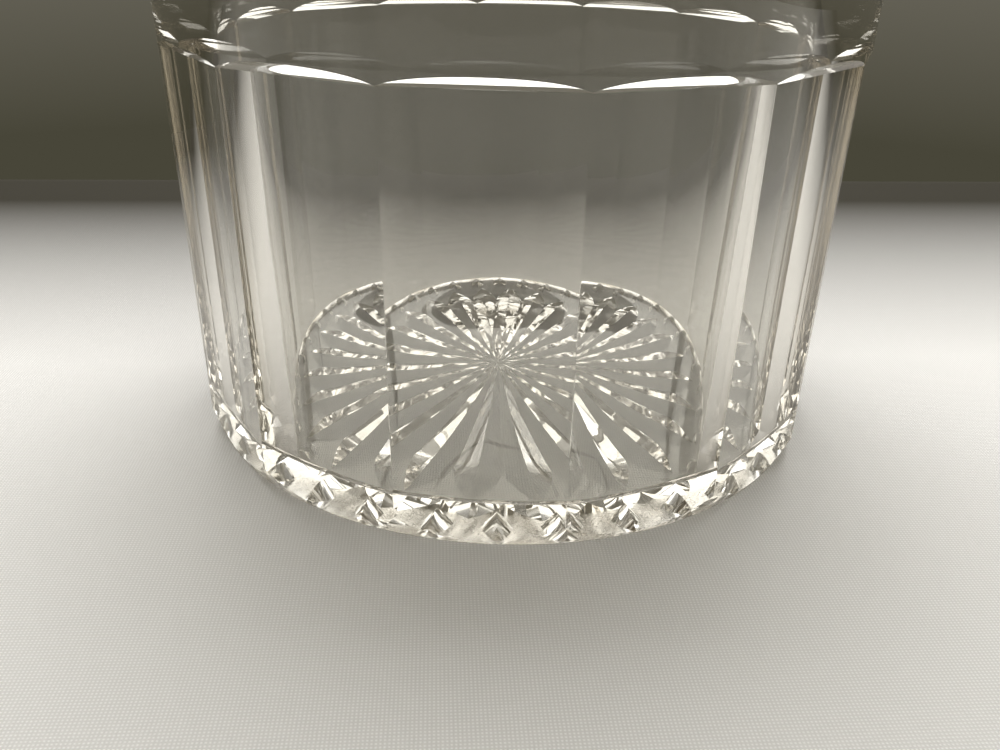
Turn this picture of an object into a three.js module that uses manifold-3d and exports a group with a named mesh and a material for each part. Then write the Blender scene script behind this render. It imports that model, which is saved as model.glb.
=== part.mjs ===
// A cut-glass bottle coaster: one thick piece of clear glass. Millimetres, +Z up, origin at the centre of
// the underside. It is made in the glass cutter's order: a round blank is turned, flat panels are ground
// round its side, and mitre grooves are cut into its underside.
import * as THREE from "three";
import { mergeVertices } from "three/addons/utils/BufferGeometryUtils.js";
import Module from "manifold-3d";

const wasm = await Module();
wasm.setup();

// The round blank.
const HEIGHT = 86;
const FOOT_RADIUS = 59;
const OUTER_FLARE = 0.014; // the outside widens by this much for each millimetre of height
const FOOT_BEVEL_WIDTH = 1.7; // a steep bevel that takes the corners of the panels off at the foot
const FOOT_BEVEL_HEIGHT = 4;
const FLOOR_THICKNESS = 4;
const CAVITY_RADIUS = 49.2; // at the level of the floor
const CAVITY_FLARE = 0.03; // the wall gets thinner towards the rim
const CAVITY_FILLET = 2;
const RIM_ROUND = 1.2;
const ROUND_STEPS = 112; // eight steps to a panel
const RIM_STEPS = 4; // on each half of the rim
const FILLET_STEPS = 6;

// The flat panels and the scooped stops at their tops.
const PANEL_COUNT = 14;
const PANEL_TOP = 68;
const PANEL_BITE = 0.06; // the panels go this much deeper than the blank's side, so their edges are crisp
const SCOOP_RADIUS = 5;
const SCOOP_START = 150; // degrees on the scoop's arc: it leaves the panel at a slant
const SCOOP_END = 95; // and runs nearly level by the time it is outside the glass
const SCOOP_STEPS = 5;

// The star in the middle of the underside.
const STAR_RAYS = 24;
const STAR_TIP_RADIUS = 45.8;
const STAR_FULL_RADIUS = 36; // the rays keep their full depth from the centre to here
const STAR_DEPTH = 2;
const STAR_SLOPE = 22; // degrees between a groove's flanks and the underside
const STAR_TURN = 12;
const RUN_OUT_STEPS = 6;

// The ring of short cuts between the star and the edge of the foot.
const RING_CUTS = 32;
const RING_INNER_RADIUS = 46.4;
const RING_DEEPEST_RADIUS = 48.4;
const RING_OUTER_RADIUS = 56.6;
const RING_DEPTH = 2.7;
const RING_SLOPE = 47;
const RING_TURN = 2.8;
const BLUNT_STEPS = 3; // on the short inner end of a cut
const LONG_STEPS = 7; // on its long outer end

const TOOL_CLEARANCE = 3; // how far the cutting tools stand out of the glass
const WHEEL_BODY = 12; // how far the cutting wheels reach below the underside

const radians = THREE.MathUtils.degToRad;
const lerp = THREE.MathUtils.lerp;
const outerRadius = (z) => FOOT_RADIUS + OUTER_FLARE * z;
const cavityRadius = (z) => CAVITY_RADIUS + CAVITY_FLARE * (z - FLOOR_THICKNESS);

// A closed geometry as a solid, and a solid back as a geometry with flat facets.
function solidOf(geometry) {
  const bare = geometry.clone();
  bare.deleteAttribute("normal");
  bare.deleteAttribute("uv");
  const merged = mergeVertices(bare, 1e-4);
  const vertProperties = merged.attributes.position.array;
  const triVerts = new Uint32Array(merged.index.array);
  return new wasm.Manifold(new wasm.Mesh({ numProp: 3, vertProperties, triVerts }));
}

function geometryOf(solid) {
  const mesh = solid.getMesh();
  const geometry = new THREE.BufferGeometry();
  geometry.setAttribute("position", new THREE.BufferAttribute(mesh.vertProperties, 3));
  geometry.setIndex(new THREE.BufferAttribute(mesh.triVerts, 1));
  const flat = geometry.toNonIndexed();
  flat.computeVertexNormals();
  return flat;
}

// Points on an arc, ends included. Angles are in degrees, counted from the outward side upwards.
function arc(centreR, centreZ, radius, from, to, steps) {
  return Array.from({ length: steps + 1 }, (_, i) => {
    const angle = radians(lerp(from, to, i / steps));
    return new THREE.Vector2(centreR + radius * Math.cos(angle), centreZ + radius * Math.sin(angle));
  });
}

// A profile of (radius, height) turned about +Z. The first corner of the turned shape is on the -Y side.
function turned(profile, steps) {
  return new THREE.LatheGeometry(profile, steps).rotateX(Math.PI / 2);
}

// The blank: bevelled foot, flared side, rounded rim, tapered cavity with a filleted flat floor.
function turnedBlank() {
  const rimCentre = HEIGHT - RIM_ROUND;
  const filletCentre = FLOOR_THICKNESS + CAVITY_FILLET;
  const profile = [
    new THREE.Vector2(0, 0),
    new THREE.Vector2(outerRadius(0) - FOOT_BEVEL_WIDTH, 0),
    new THREE.Vector2(outerRadius(FOOT_BEVEL_HEIGHT), FOOT_BEVEL_HEIGHT),
    ...arc(outerRadius(rimCentre) - RIM_ROUND, rimCentre, RIM_ROUND, 0, 90, RIM_STEPS),
    ...arc(cavityRadius(rimCentre) + RIM_ROUND, rimCentre, RIM_ROUND, 90, 180, RIM_STEPS),
    ...arc(cavityRadius(filletCentre) - CAVITY_FILLET, filletCentre, CAVITY_FILLET, 0, -90, FILLET_STEPS),
    new THREE.Vector2(0, FLOOR_THICKNESS),
  ];
  return turned(profile, ROUND_STEPS);
}

// The grinder's path round the side, as one many-sided ring. Its inner faces are the planes of the panels.
// Over each panel the ring's top sweeps outwards in a hollow curve, which leaves an arched stop under the
// plain collar.
function panelRing() {
  const flat = Math.cos(Math.PI / PANEL_COUNT); // a panel's distance from the axis for each unit at its edges
  const side = (z) => (outerRadius(z) - PANEL_BITE) * flat;
  const start = radians(SCOOP_START);
  const hollow = arc(
    side(PANEL_TOP) - SCOOP_RADIUS * Math.cos(start),
    PANEL_TOP - SCOOP_RADIUS * Math.sin(start),
    SCOOP_RADIUS,
    SCOOP_START,
    SCOOP_END,
    SCOOP_STEPS,
  );
  const outside = hollow.at(-1).x + SCOOP_RADIUS;
  const faces = [
    new THREE.Vector2(side(-TOOL_CLEARANCE), -TOOL_CLEARANCE),
    new THREE.Vector2(outside, -TOOL_CLEARANCE),
    new THREE.Vector2(outside, hollow.at(-1).y),
    ...hollow.reverse(),
    new THREE.Vector2(side(-TOOL_CLEARANCE), -TOOL_CLEARANCE),
  ];
  const corners = faces.map((p) => new THREE.Vector2(p.x / flat, p.y));
  return turned(corners, PANEL_COUNT).rotateZ(Math.PI / PANEL_COUNT);
}

// A wheel of V-edged cuts, as one body. keel is a list of (radius, depth) from the inner end of a cut to
// its outer end. Every second meridian carries a keel, and the one between them carries the ridge where the
// flanks of two neighbours meet: flanks fall away from the keel at the given slope.
function mitreWheel(keel, cuts, slope) {
  const halfStep = Math.PI / cuts;
  const inner = keel[0];
  const outer = keel.at(-1);
  const closed = [new THREE.Vector2(inner.x, -WHEEL_BODY), new THREE.Vector2(outer.x, -WHEEL_BODY)];
  closed.push(...keel.slice().reverse());
  if (inner.x > 0) {
    closed.push(closed[0]);
  }
  const wheel = new THREE.LatheGeometry(closed, 2 * cuts);
  const place = wheel.attributes.position;
  for (let i = 0; i < place.count; i++) {
    const meridian = Math.floor(i / closed.length);
    const corner = i % closed.length;
    const onKeel = corner > 1 && corner < 2 + keel.length;
    if (meridian % 2 === 1) {
      const radius = closed[corner].x;
      const stretch = 1 / Math.cos(halfStep);
      const drop = onKeel ? radius * Math.tan(halfStep) * Math.tan(radians(slope)) : 0;
      place.setXYZ(i, place.getX(i) * stretch, place.getY(i) - drop, place.getZ(i) * stretch);
    }
  }
  return wheel.rotateX(Math.PI / 2);
}

// A ray of the star keeps its depth from the centre to its full radius, then the wheel runs out in an arc.
function starKeel() {
  const runOut = Array.from({ length: RUN_OUT_STEPS + 2 }, (_, i) => {
    const out = i / RUN_OUT_STEPS;
    return new THREE.Vector2(lerp(STAR_FULL_RADIUS, STAR_TIP_RADIUS, out), STAR_DEPTH * (1 - out * out));
  });
  return [new THREE.Vector2(0, STAR_DEPTH), ...runOut];
}

// A short cut is a leaf: it is steep and blunt towards the star, and runs out in a long arc at the edge of
// the foot.
function ringKeel() {
  const point = (end, away) => {
    const radius = lerp(RING_DEEPEST_RADIUS, end, away);
    return new THREE.Vector2(radius, RING_DEPTH * (1 - away * away));
  };
  const blunt = Array.from({ length: BLUNT_STEPS + 2 }, (_, i) => {
    return point(RING_INNER_RADIUS, (BLUNT_STEPS + 1 - i) / BLUNT_STEPS);
  });
  const long = Array.from({ length: LONG_STEPS + 1 }, (_, i) => point(RING_OUTER_RADIUS, (i + 1) / LONG_STEPS));
  return [...blunt, ...long];
}

function glassBody() {
  const star = mitreWheel(starKeel(), STAR_RAYS, STAR_SLOPE).rotateZ(radians(STAR_TURN));
  const ring = mitreWheel(ringKeel(), RING_CUTS, RING_SLOPE).rotateZ(radians(RING_TURN));
  const panelled = solidOf(turnedBlank()).subtract(solidOf(panelRing()));
  const cut = panelled.subtract(solidOf(star)).subtract(solidOf(ring));
  const clearGlass = new THREE.MeshStandardMaterial({
    color: "#eef0ea",
    roughness: 0.02,
    metalness: 0,
    transparent: true,
    opacity: 0.35,
  });
  const mesh = new THREE.Mesh(geometryOf(cut), clearGlass);
  mesh.name = "glass_body";
  return mesh;
}

const coaster = new THREE.Group();
coaster.add(glassBody());

export default coaster;
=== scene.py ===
import math

import bmesh
import bpy
import numpy as np
from mathutils import Matrix


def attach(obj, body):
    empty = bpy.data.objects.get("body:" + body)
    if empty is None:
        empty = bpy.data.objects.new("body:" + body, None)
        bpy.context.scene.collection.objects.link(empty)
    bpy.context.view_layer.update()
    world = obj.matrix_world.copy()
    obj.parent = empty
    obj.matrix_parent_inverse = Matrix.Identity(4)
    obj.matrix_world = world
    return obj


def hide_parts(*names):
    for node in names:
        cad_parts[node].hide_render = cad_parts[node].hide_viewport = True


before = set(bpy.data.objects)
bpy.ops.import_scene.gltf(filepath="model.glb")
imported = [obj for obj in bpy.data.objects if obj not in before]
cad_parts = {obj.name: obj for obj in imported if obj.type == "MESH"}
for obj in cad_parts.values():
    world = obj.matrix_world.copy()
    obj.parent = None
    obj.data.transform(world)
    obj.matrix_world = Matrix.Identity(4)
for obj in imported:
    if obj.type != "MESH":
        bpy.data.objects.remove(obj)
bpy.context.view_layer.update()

# The glass body, with its sizes in millimetres
# One thick piece of clear lead glass. A round blank is made in a mould, then flat panels are ground up
# its side as far as a plain collar, where the wheel leaves a scooped stop over each panel. The cup inside
# keeps the faintly rippled surface of the mould.
millimetre = 0.001
foot_radius = 59.0
rim_height = 86.0
rim_round = 1.2
rim_start = rim_height - rim_round
side_flare = 0.014  # how much the outside widens for each millimetre of height
foot_bevel_width = 1.7
foot_bevel_height = 4.0
cup_floor_height = 4.0
cup_floor_radius = 49.2
cup_flare = 0.03
cup_fillet = 1.5
cup_fillet_top = cup_floor_height + cup_fillet
floor_rise = 1.5  # of the floor's middle over its edge

panels = 14
panel_half_turn = math.pi / panels
panel_top = 68.0
panel_bite = 0.06  # how much deeper than the blank's side the wheel goes, so that the edges are crisp
edge_softening = 0.4  # radius of the corners between the panels
edge_strip = 0.1  # a strip of flat beside each corner, which keeps the corner's shading to the corner
scoop_radius = 5.0
scoop_start = math.radians(150)
scoop_end = math.radians(95)

ripples = 60
ripple_slope = 0.0012  # of all the ripples together, as a root mean square
ripple_fade = 6.0  # the ripples come in over this length from each end of the wall and of the floor
most_waves_round = 36
least_climb = 0.05  # radians of a wave for each millimetre up the wall
most_climb = 0.7
wall_seed = 5
floor_seed = 8

flat_columns = 17
corner_columns = 5
flat_row_heights = (20.0, 40.0)
scoop_samples = 200
scoop_rows = 16
collar_rows = 3
rim_steps = 12  # on each half of the rim
wall_rows = 70
fillet_steps = 24
floor_rows = 38


def side_radius(height):
    """Outside of the round blank: the foot's radius plus the flare times the height."""
    return foot_radius + side_flare * height


def cup_radius(height):
    """Inside of the cup: its radius at the floor plus the flare times the height over the floor."""
    return cup_floor_radius + cup_flare * (height - cup_floor_height)


def panel_distance(height):
    """Distance of a panel's middle from the axis: the blank's side less the bite, times the cosine of half
    the turn of a panel."""
    return (side_radius(height) - panel_bite) * math.cos(panel_half_turn)


def panelled(height, local):
    """Radius of the many-sided outline at a height, at the angle local from the middle of a panel: the
    panel's distance over the cosine on the flat, and the far crossing with a small circle at the softened
    corner."""
    centre = (panel_distance(height) - edge_softening) / math.cos(panel_half_turn)
    to_corner = panel_half_turn - np.abs(local)
    reach = np.arctan2(edge_softening * math.sin(panel_half_turn),
                       centre + edge_softening * math.cos(panel_half_turn))
    across = centre * np.sin(to_corner)
    arc = centre * np.cos(to_corner) + np.sqrt(np.maximum(edge_softening**2 - across**2, 0))
    return np.where(to_corner < reach, arc, panel_distance(height) / np.cos(local))


def bevelled(height):
    """Radius of the foot's bevel at a height: a straight line from the foot's radius less the bevel's width
    out to the blank's side at the bevel's top."""
    return side_radius(height) - foot_bevel_width * (1 - height / foot_bevel_height)


def side_angles():
    """Azimuths of the side's points, and their angles from the middle of their panel. A flat has a point at
    each end and an even row of points between, which starts and ends a narrow strip inside of them. The
    corner has its points between the ends of its two flats."""
    corner = edge_softening * math.sin(panel_half_turn) / foot_radius
    end = panel_half_turn - corner
    strip = edge_strip / foot_radius
    flat = np.linspace(-end + strip, end - strip, flat_columns)
    turn = panel_half_turn + np.linspace(-corner, corner, corner_columns + 2)[1:-1]
    one = np.concatenate([[-end], flat, [end], turn])
    azimuth = (2 * panel_half_turn * np.arange(panels)[:, None] + one).ravel()
    local = np.tile(np.where(one > panel_half_turn, one - 2 * panel_half_turn, one), panels)
    return azimuth, local


def rippled(azimuth, height, seed):
    """Ripples in a moulded face: a sum of waves of random direction and phase, each a cosine of a whole
    number of turns round the cup plus a rate up the wall. Each wave is as steep as the next, so short ones
    are shallow."""
    draw = np.random.default_rng(seed)
    round_rate = draw.integers(-most_waves_round, most_waves_round + 1, ripples)
    up_rate = draw.uniform(least_climb, most_climb, ripples)
    phase = draw.uniform(0, 2 * math.pi, ripples)
    steepness = np.hypot(round_rate / cup_floor_radius, up_rate)
    angle = azimuth[..., None] * round_rate + np.asarray(height)[..., None] * up_rate + phase
    return ripple_slope * math.sqrt(2 / ripples) * (np.cos(angle) / steepness).sum(axis=-1)


def foot_and_flats(local):
    """Rows of radius and height up the foot's bevel and the flats. The bevel and a panel are both straight
    in height, so the gap between them shrinks evenly, and the bevel ends where that gap is nought."""
    gap_low = panelled(0, local) - bevelled(0)
    gap_high = panelled(foot_bevel_height, local) - bevelled(foot_bevel_height)
    crease = foot_bevel_height * gap_low / (gap_low - gap_high)
    rows = [(bevelled(0), 0), (bevelled(crease), crease)]
    return rows + [(panelled(height, local), height) for height in (*flat_row_heights, panel_top)]


def scooped(angle):
    """A panel's distance from the axis, and its height, on the arc of the wheel that scoops out its stop:
    both go on from the panel's top by the radius times the change of the cosine and of the sine."""
    out = panel_distance(panel_top) + scoop_radius * (np.cos(angle) - math.cos(scoop_start))
    up = panel_top + scoop_radius * (np.sin(angle) - math.sin(scoop_start))
    return out, up


def stops(local):
    """Rows over the scooped stops, in even shares of the arc. The arc ends where it meets the round collar,
    which is where its distance over the collar's radius is the cosine of the point's local angle."""
    swing = np.linspace(scoop_start, scoop_end, scoop_samples)
    out, up = scooped(swing)
    meet = np.interp(np.cos(local), out / side_radius(up), swing)
    rows = []
    for share in np.linspace(0, 1, scoop_rows + 1)[1:]:
        out, up = scooped(scoop_start + share * (meet - scoop_start))
        rows.append((np.minimum(out / np.cos(local), side_radius(up)), up))
    return rows


def collar_and_rim(stop):
    """Rows from the height of the stops' upper edge up the plain collar, and over the rim, which is a
    quarter circle on the outside and another on the inside."""
    rows = []
    for share in np.linspace(0, 1, collar_rows + 2)[1:-1]:
        height = stop + share * (rim_start - stop)
        rows.append((side_radius(height), height))
    for angle in np.linspace(0, math.pi / 2, rim_steps + 1):
        radius = side_radius(rim_start) - rim_round + rim_round * math.cos(angle)
        rows.append((radius, rim_start + rim_round * math.sin(angle)))
    for angle in np.linspace(math.pi / 2, math.pi, rim_steps + 1)[1:]:
        radius = cup_radius(rim_start) + rim_round + rim_round * math.cos(angle)
        rows.append((radius, rim_start + rim_round * math.sin(angle)))
    return rows


def cup_inside(azimuth):
    """Rows down the cup's wall, round its fillet and in towards the middle of its floor. The floor stands
    up by its rise times the square of one minus the square of the share of its radius. Wall and floor
    carry the ripples."""
    rows = []
    for height in np.linspace(rim_start, cup_fillet_top, wall_rows + 2)[1:-1]:
        fade = min(1, (rim_start - height) / ripple_fade, (height - cup_fillet_top) / ripple_fade)
        rows.append((cup_radius(height) + fade * rippled(azimuth, height, wall_seed), height))
    floor_end = cup_radius(cup_fillet_top) - cup_fillet
    for angle in np.linspace(0, math.pi / 2, fillet_steps + 1):
        radius = floor_end + cup_fillet * math.cos(angle)
        rows.append((radius, cup_fillet_top - cup_fillet * math.sin(angle)))
    for radius in np.linspace(floor_end, 0, floor_rows + 2)[1:-1]:
        fade = min(1, (floor_end - radius) / ripple_fade, radius / ripple_fade)
        rise = floor_rise * (1 - (radius / floor_end)**2)**2
        rows.append((radius, cup_floor_height + rise + fade * rippled(azimuth, radius, floor_seed)))
    return rows


# The star and the ring of short cuts in the underside
# Both are mitre cuts, made with the V edge of a stone wheel and polished: long rays that meet in the
# middle, and a ring of leaf-shaped dips under the thick wall. The flats between them are what the coaster
# stands on.
star_rays = 24
star_tip = 45.8
star_full = 36.0  # the rays keep their full depth from the middle to here
star_depth = 2.0
star_slope = math.radians(22)  # between a cut's flanks and the underside
star_turn = math.radians(12)
star_rows = 60
ring_cuts = 32
ring_inner = 46.4
ring_deepest = 48.4
ring_outer = 56.6
ring_depth = 2.7
ring_slope = math.radians(47)
ring_turn = math.radians(2.8)
ring_rows = 41
base_hollow = 1.5  # how high the underside's middle stands over the table between the cuts
hollow_radius = 46.0
edge_tries = 12


def hollowed(radius):
    """Height of the underside between the cuts: a dome, its full height in the middle times the square of
    one minus the square of the share of the hollow's radius, and nought outside of that radius."""
    return base_hollow * (1 - np.minimum(radius / hollow_radius, 1)**2)**2


def star_keel(along):
    """Depth of a ray's keel: the full depth, then the parabola of the wheel's run-out, full depth times one
    minus the square of the share of the run-out."""
    share = np.maximum(along - star_full, 0) / (star_tip - star_full)
    return star_depth * (1 - share**2)


def ring_keel(along):
    """Depth of a short cut's keel: a half parabola down to nought on each side of the deepest point, short
    and blunt towards the star and long towards the edge of the foot."""
    inward = (ring_deepest - along) / (ring_deepest - ring_inner)
    outward = (along - ring_deepest) / (ring_outer - ring_deepest)
    return ring_depth * (1 - np.maximum(inward, outward)**2)


def cut_rows(radii, keel, cuts, slope, turn):
    """Azimuths, radii and heights of rows of points over a wheel of cuts, four points to a cut: the ridge
    half-way to the cut before, one edge, the keel and the other edge. A point is as deep as the keel less
    the tangent of the slope times its distance from the keel, or nought where that is less. The edge is
    where the two are equal: its angle is worked out from the keel's depth at the angle of the last try,
    over and over until it settles."""
    half = math.pi / cuts
    radius = radii[:, None]
    edge = np.zeros_like(radius)
    for _ in range(edge_tries):
        width = np.maximum(keel(radius * np.cos(edge)), 0) / math.tan(slope)
        edge = np.minimum(np.arcsin(np.clip(width / radius, 0, 1)), half)
    offset = np.concatenate([np.full_like(edge, -half), -edge, 0 * edge, edge], axis=1)
    depth = keel(radius * np.cos(offset)) - radius * np.sin(np.abs(offset)) * math.tan(slope)
    azimuth = turn + 2 * half * np.arange(cuts)[None, :, None] + offset[:, None, :]
    height = (hollowed(radius) + np.maximum(depth, 0))[:, None, :] + 0 * azimuth
    place = [azimuth, radius[:, :, None] + 0 * azimuth, height]
    return [numbers.reshape(len(radii), 4 * cuts) for numbers in place]


def points(azimuth, radius, height):
    """Points from azimuth, radius and height: x is radius times sine, and y is minus radius times cosine,
    so that azimuth nought looks along -Y and grows towards +X."""
    place = [radius * np.sin(azimuth), -radius * np.cos(azimuth), height + 0 * azimuth]
    return np.stack(place, axis=-1).reshape(-1, 3)


def bands(rows, columns, first):
    """Quads between the neighbouring rows of a closed round grid whose first point is number first."""
    i, j = np.meshgrid(np.arange(rows - 1), np.arange(columns), indexing="ij")
    k = (j + 1) % columns
    corners = [i * columns + j, i * columns + k, (i + 1) * columns + k, (i + 1) * columns + j]
    return first + np.stack(corners, axis=-1).reshape(-1, 4)


def seam(inner, inner_azimuth, outer, outer_azimuth):
    """Triangles of the flat strip between two rounds of points that are spaced differently. The points of
    both are taken in order of azimuth, and each makes a triangle with the last point before it on its own
    round and the last on the other. Faces look down."""
    inner_azimuth = inner_azimuth % (2 * math.pi)
    outer_azimuth = outer_azimuth % (2 * math.pi)
    inner = inner[np.argsort(inner_azimuth)]
    outer = outer[np.argsort(outer_azimuth)]
    both = np.concatenate([np.sort(inner_azimuth), np.sort(outer_azimuth)])
    is_inner = np.argsort(both, kind="stable") < len(inner)
    last_inner = np.cumsum(is_inner) - 1
    last_outer = np.cumsum(~is_inner) - 1
    on_inner = np.stack([inner[last_inner - 1], inner[last_inner], outer[last_outer]], axis=-1)
    on_outer = np.stack([inner[last_inner], outer[last_outer], outer[last_outer - 1]], axis=-1)
    return np.where(is_inner[:, None], on_inner, on_outer)


def hub(round_points, centre, upward):
    """Triangles from a round of points to the point in its middle, which look up or down."""
    after = np.roll(round_points, -1)
    middle = np.full_like(round_points, centre)
    order = [round_points, after, middle] if upward else [after, round_points, middle]
    return np.stack(order, axis=-1)


side_azimuth, side_local = side_angles()
rows = foot_and_flats(side_local) + stops(side_local)
rows += collar_and_rim(rows[-1][1]) + cup_inside(side_azimuth)
side_radii = np.array([radius + 0 * side_local for radius, _ in rows])
side_heights = np.array([height + 0 * side_local for _, height in rows])
side = points(side_azimuth, side_radii, side_heights)

star_reach = np.linspace(0, star_tip, star_rows + 1)[1:]
ring_reach = np.linspace(ring_inner, ring_outer, ring_rows)
star_azimuth, star_radii, star_heights = cut_rows(star_reach, star_keel, star_rays, star_slope, star_turn)
ring_azimuth, ring_radii, ring_heights = cut_rows(ring_reach, ring_keel, ring_cuts, ring_slope, ring_turn)
star = points(star_azimuth, star_radii, star_heights)
ring = points(ring_azimuth, ring_radii, ring_heights)
middles = np.array([[0, 0, cup_floor_height + floor_rise], [0, 0, base_hollow + star_depth]])

side_columns, star_columns, ring_columns = len(side_azimuth), 4 * star_rays, 4 * ring_cuts
first_star = len(side)
first_ring = first_star + len(star)
first_middle = first_ring + len(ring)
foot_round = np.arange(side_columns)
cup_middle = first_star - side_columns + np.arange(side_columns)
star_middle = first_star + np.arange(star_columns)
star_end = first_ring - star_columns + np.arange(star_columns)
ring_start = first_ring + np.arange(ring_columns)
ring_end = first_middle - ring_columns + np.arange(ring_columns)
quads = np.concatenate([
    bands(len(rows), side_columns, 0),
    bands(star_rows, star_columns, first_star),
    bands(ring_rows, ring_columns, first_ring),
])
triangles = np.concatenate([
    hub(cup_middle, first_middle, True),
    hub(star_middle, first_middle + 1, False),
    seam(star_end, star_azimuth[-1], ring_start, ring_azimuth[0]),
    seam(ring_end, ring_azimuth[-1], foot_round, side_azimuth),
])

# Points that fall together, as where a cut has run out, are merged. The facets of the rounds are shaded
# as smooth, and any sharper corner stays crisp.
merge_distance = 0.002 * millimetre
least_edge = 0.0001 * millimetre
crisp_angle = math.radians(5.2)
glass_mesh = bpy.data.meshes.new("cut_glass")
glass_points = np.concatenate([side, star, ring, middles]) * millimetre
glass_mesh.from_pydata(glass_points.tolist(), [], quads.tolist() + triangles.tolist())
work = bmesh.new()
work.from_mesh(glass_mesh)
bmesh.ops.remove_doubles(work, verts=work.verts, dist=merge_distance)
bmesh.ops.dissolve_degenerate(work, edges=work.edges, dist=least_edge)
work.to_mesh(glass_mesh)
work.free()
glass_mesh.polygons.foreach_set("use_smooth", np.ones(len(glass_mesh.polygons), bool))
glass_mesh.set_sharp_from_angle(angle=crisp_angle)
glass = bpy.data.objects.new("cut_glass", glass_mesh)
bpy.context.scene.collection.objects.link(glass)
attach(glass, "root")
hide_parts("glass_body")


def linear(code):
    """A colour given as an sRGB hex value, turned to the linear numbers that the shader takes."""
    channels = np.array([int(code[i:i + 2], 16) / 255 for i in (1, 3, 5)])
    bright = ((channels + 0.055) / 1.055) ** 2.4
    return tuple(np.where(channels <= 0.04045, channels / 12.92, bright)) + (1.0,)


def add_node(tree, kind, settings=None, **sockets):
    """Adds a node: settings are its own properties, and each socket is set to a value or linked to an
    output. A socket goes by its name, with underscores for spaces, or by its number after the word at."""
    node = tree.nodes.new(kind)
    for name, value in (settings or {}).items():
        setattr(node, name, value)
    for name, value in sockets.items():
        by_number = name.startswith("at")
        socket = node.inputs[int(name[2:]) if by_number else name.replace("_", " ")]
        if isinstance(value, bpy.types.NodeSocket):
            tree.links.new(value, socket)
        else:
            socket.default_value = value
    return node


# Lead glass, ground, cut and polished by hand: quite clear, with a faint straw tint where the light runs
# a long way through it. The flats of the underside are dulled by years of sliding on a table.
glass_tone = "#e8e7e3"
straw_tint = "#f3ede0"
wear_height = 0.03 * millimetre
scratch_grain = 0.5 * millimetre
least_dulled = 0.05
most_dulled = 0.3
lead_glass = bpy.data.materials.new("polished_lead_glass")
lead_glass.use_nodes = True
tree = lead_glass.node_tree
tree.nodes.clear()
place = add_node(tree, "ShaderNodeTexCoord")
split = add_node(tree, "ShaderNodeSeparateXYZ", Vector=place.outputs["Object"])
on_flat = add_node(tree, "ShaderNodeMapRange", Value=split.outputs["Z"], From_Min=0.0,
                   From_Max=wear_height, To_Min=1.0, To_Max=0.0)
grain = add_node(tree, "ShaderNodeTexNoise", Vector=place.outputs["Object"], Scale=1 / scratch_grain,
                 Detail=4.0)
patchy = add_node(tree, "ShaderNodeMapRange", Value=grain.outputs["Fac"], From_Min=0.35, From_Max=0.65,
                  To_Min=least_dulled, To_Max=most_dulled)
wear = add_node(tree, "ShaderNodeMath", {"operation": "MULTIPLY"}, at0=on_flat.outputs[0],
                at1=patchy.outputs[0])
shader = add_node(tree, "ShaderNodeBsdfPrincipled", Base_Color=linear(glass_tone),
                  Roughness=wear.outputs[0], IOR=1.56, Transmission_Weight=1.0)
depth_tint = add_node(tree, "ShaderNodeVolumeAbsorption", Color=linear(straw_tint), Density=12.0)
add_node(tree, "ShaderNodeOutputMaterial", Surface=shader.outputs["BSDF"],
         Volume=depth_tint.outputs["Volume"])
glass_mesh.materials.append(lead_glass)

# The table, with its sizes in metres
# A table with a white cotton cloth over it. The cloth lies flat as far as the table's rounded far edge,
# and hangs down behind it. It is a hair below the coaster's foot, so that no two faces share a place.
table_half_width = 0.9
table_front = -0.9
table_back = 0.16
table_edge_round = 0.03
table_edge_steps = 32
table_turn = math.radians(8)
cloth_level = -0.15 * millimetre
cloth_hem = -0.4

# The cloth's profile from front to back is a level line, a quarter circle over the table's edge and a
# line down to the hem. It is carried across the table, and then turned about the coaster's axis.
edge_turn = np.linspace(0, math.pi / 2, table_edge_steps + 1)
over_edge = np.stack([table_back + table_edge_round * np.sin(edge_turn),
                      cloth_level - table_edge_round * (1 - np.cos(edge_turn))], axis=-1)
table_end = table_back + table_edge_round
profile = np.concatenate([[[table_front, cloth_level]], over_edge, [[table_end, cloth_hem]]])
x = np.tile([-table_half_width, table_half_width], len(profile))
y, z = np.repeat(profile, 2, axis=0).T
cloth_points = np.stack([x * math.cos(table_turn) - y * math.sin(table_turn),
                         x * math.sin(table_turn) + y * math.cos(table_turn), z], axis=-1)
start = 2 * np.arange(len(profile) - 1)
cloth_faces = np.stack([start, start + 1, start + 3, start + 2], axis=-1)
table_mesh = bpy.data.meshes.new("table_cloth")
table_mesh.from_pydata(cloth_points.tolist(), [], cloth_faces.tolist())
table_mesh.polygons.foreach_set("use_smooth", np.ones(len(cloth_faces), bool))
table = bpy.data.objects.new("table_cloth", table_mesh)
bpy.context.scene.collection.objects.link(table)

# Bleached cotton in a plain weave, matt, with threads that the eye can just tell apart: painted light on
# the threads' tops and painted shade in the dips between them, over a bump of the same weave. Towards the
# far edge it is painted darker, down to the tone of the room, as painted shade where the light falls off.
# Painted shade between the threads and painted light on their tops
thread_shade = "#e0deda"
painted_lit_thread_top = "#f9f8f5"
# Painted shade: the cloth's tone at the far edge, where the light falls off
painted_far_shade = "#38352c"
thread = 0.52 * millimetre
thread_relief = 0.1 * millimetre
wave_length = 0.314  # of the wave texture at scale 1
painted_shade_start = 0.01
painted_shade_end = 0.137
cotton = bpy.data.materials.new("woven_cotton")
cotton.use_nodes = True
tree = cotton.node_tree
tree.nodes.clear()
place = add_node(tree, "ShaderNodeTexCoord")
turned = add_node(tree, "ShaderNodeMapping", Vector=place.outputs["Object"], Rotation=(0, 0, -table_turn))
warp = add_node(tree, "ShaderNodeTexWave", {"bands_direction": "X"}, Vector=turned.outputs["Vector"],
                Scale=wave_length / thread, Distortion=0.0)
weft = add_node(tree, "ShaderNodeTexWave", {"bands_direction": "Y"}, Vector=turned.outputs["Vector"],
                Scale=wave_length / thread, Distortion=0.0)
weave = add_node(tree, "ShaderNodeMath", {"operation": "MULTIPLY"}, at0=warp.outputs["Fac"],
                 at1=weft.outputs["Fac"])
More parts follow.
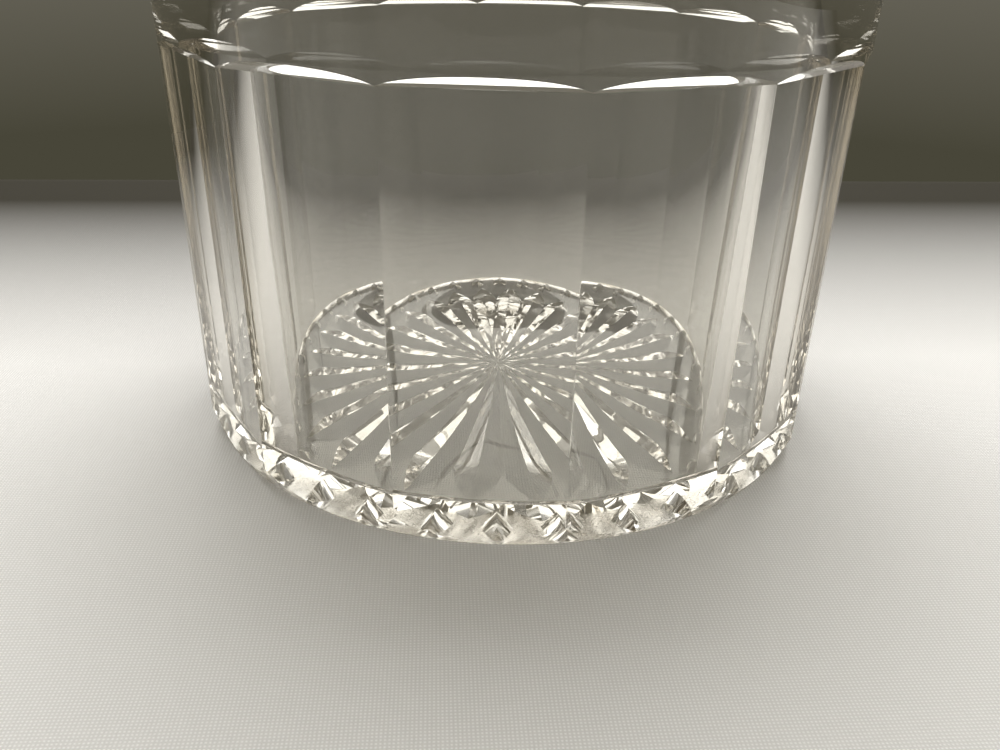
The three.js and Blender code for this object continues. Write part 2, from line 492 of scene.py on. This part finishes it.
shade = add_node(tree, "ShaderNodeMix", {"data_type": "RGBA"}, at0=weave.outputs[0],
                 at6=linear(thread_shade), at7=linear(painted_lit_thread_top))
split = add_node(tree, "ShaderNodeSeparateXYZ", Vector=turned.outputs["Vector"])
# Painted shade, growing darker from the front of the cloth to its far edge
fall = add_node(tree, "ShaderNodeMapRange", Value=split.outputs["Y"], From_Min=painted_shade_start,
                From_Max=painted_shade_end)
cloth_with_painted_shade = add_node(tree, "ShaderNodeMix", {"data_type": "RGBA"}, at0=fall.outputs[0],
                      at6=shade.outputs[2], at7=linear(painted_far_shade))
relief = add_node(tree, "ShaderNodeBump", Strength=0.5, Distance=thread_relief, Height=weave.outputs[0])
shader = add_node(tree, "ShaderNodeBsdfPrincipled", Base_Color=cloth_with_painted_shade.outputs[2], Roughness=0.9,
                  Specular_IOR_Level=0.1, Normal=relief.outputs["Normal"])
add_node(tree, "ShaderNodeOutputMaterial", Surface=shader.outputs["BSDF"])
table_mesh.materials.append(cotton)

# The room
# A dim room round the table, darkest low down. One tall window behind the coaster lights it from behind
# and above, and the ceiling sends down a little light of its own.
low_wall = "#484639"
high_wall = "#7b776c"
low_wall_level = -0.19  # as the sine of the angle over the horizon
high_wall_level = 0.1
view_turn = math.radians(4)
lit_height = 0.03
world = bpy.data.worlds.new("dim_room")
bpy.context.scene.world = world
world.use_nodes = True
tree = world.node_tree
tree.nodes.clear()
place = add_node(tree, "ShaderNodeTexCoord")
split = add_node(tree, "ShaderNodeSeparateXYZ", Vector=place.outputs["Generated"])
ramp = add_node(tree, "ShaderNodeMapRange", Value=split.outputs["Z"], From_Min=low_wall_level,
                From_Max=high_wall_level)
wall_tone = add_node(tree, "ShaderNodeMix", {"data_type": "RGBA"}, at0=ramp.outputs[0],
                     at6=linear(low_wall), at7=linear(high_wall))
background = add_node(tree, "ShaderNodeBackground", Color=wall_tone.outputs[2], Strength=1.0)
add_node(tree, "ShaderNodeOutputWorld", Surface=background.outputs["Background"])


def soft_lamp(name, azimuth, elevation, distance, size, power):
    """A square lamp that faces the coaster's lower part from a distance. Its azimuth is counted from -Y
    towards +X, and its elevation from the level of the table."""
    lamp = bpy.data.lights.new(name, "AREA")
    lamp.shape = "SQUARE"
    lamp.size = size
    lamp.energy = power
    holder = bpy.data.objects.new(name, lamp)
    bpy.context.scene.collection.objects.link(holder)
    turn = Matrix.Rotation(azimuth, 4, "Z") @ Matrix.Rotation(math.pi / 2 - elevation, 4, "X")
    lift = Matrix.Translation((0, 0, lit_height))
    holder.matrix_world = lift @ turn @ Matrix.Translation((0, 0, distance))


soft_lamp("back_window", math.pi + view_turn, math.radians(50), distance=1.2, size=1.5, power=25.0)
soft_lamp("ceiling", view_turn, math.radians(86), distance=1.3, size=2.2, power=4.0)

# Light runs a long way inside the thick foot before it comes out again, so its paths may be long. What
# one path may bring is held to somewhat over the white of the cloth, so that the sparkles in the cuts
# stay small.
bpy.context.scene.cycles.max_bounces = 32
bpy.context.scene.cycles.transmission_bounces = 32
bpy.context.scene.cycles.glossy_bounces = 16
bpy.context.scene.cycles.sample_clamp_indirect = 1.8

# The camera
# It stands close in front of the coaster, as high as its rim and a little to one side, and looks down
# into the foot.
camera_stand = (-0.00127, -0.1748, 0.0869)
camera_pitch = math.radians(26.19)
camera_roll = math.radians(1.15)
camera_data = bpy.data.cameras.new("camera")
camera_data.sensor_width = 36
camera_data.lens = 33.54
camera_data.clip_start = 0.005
camera = bpy.data.objects.new("camera", camera_data)
bpy.context.scene.collection.objects.link(camera)
camera.matrix_world = (Matrix.Rotation(view_turn, 4, "Z") @ Matrix.Translation(camera_stand)
                       @ Matrix.Rotation(math.pi / 2 - camera_pitch, 4, "X")
                       @ Matrix.Rotation(camera_roll, 4, "Z"))
bpy.context.scene.camera = camera

bpy.context.scene.view_settings.view_transform = "Standard"
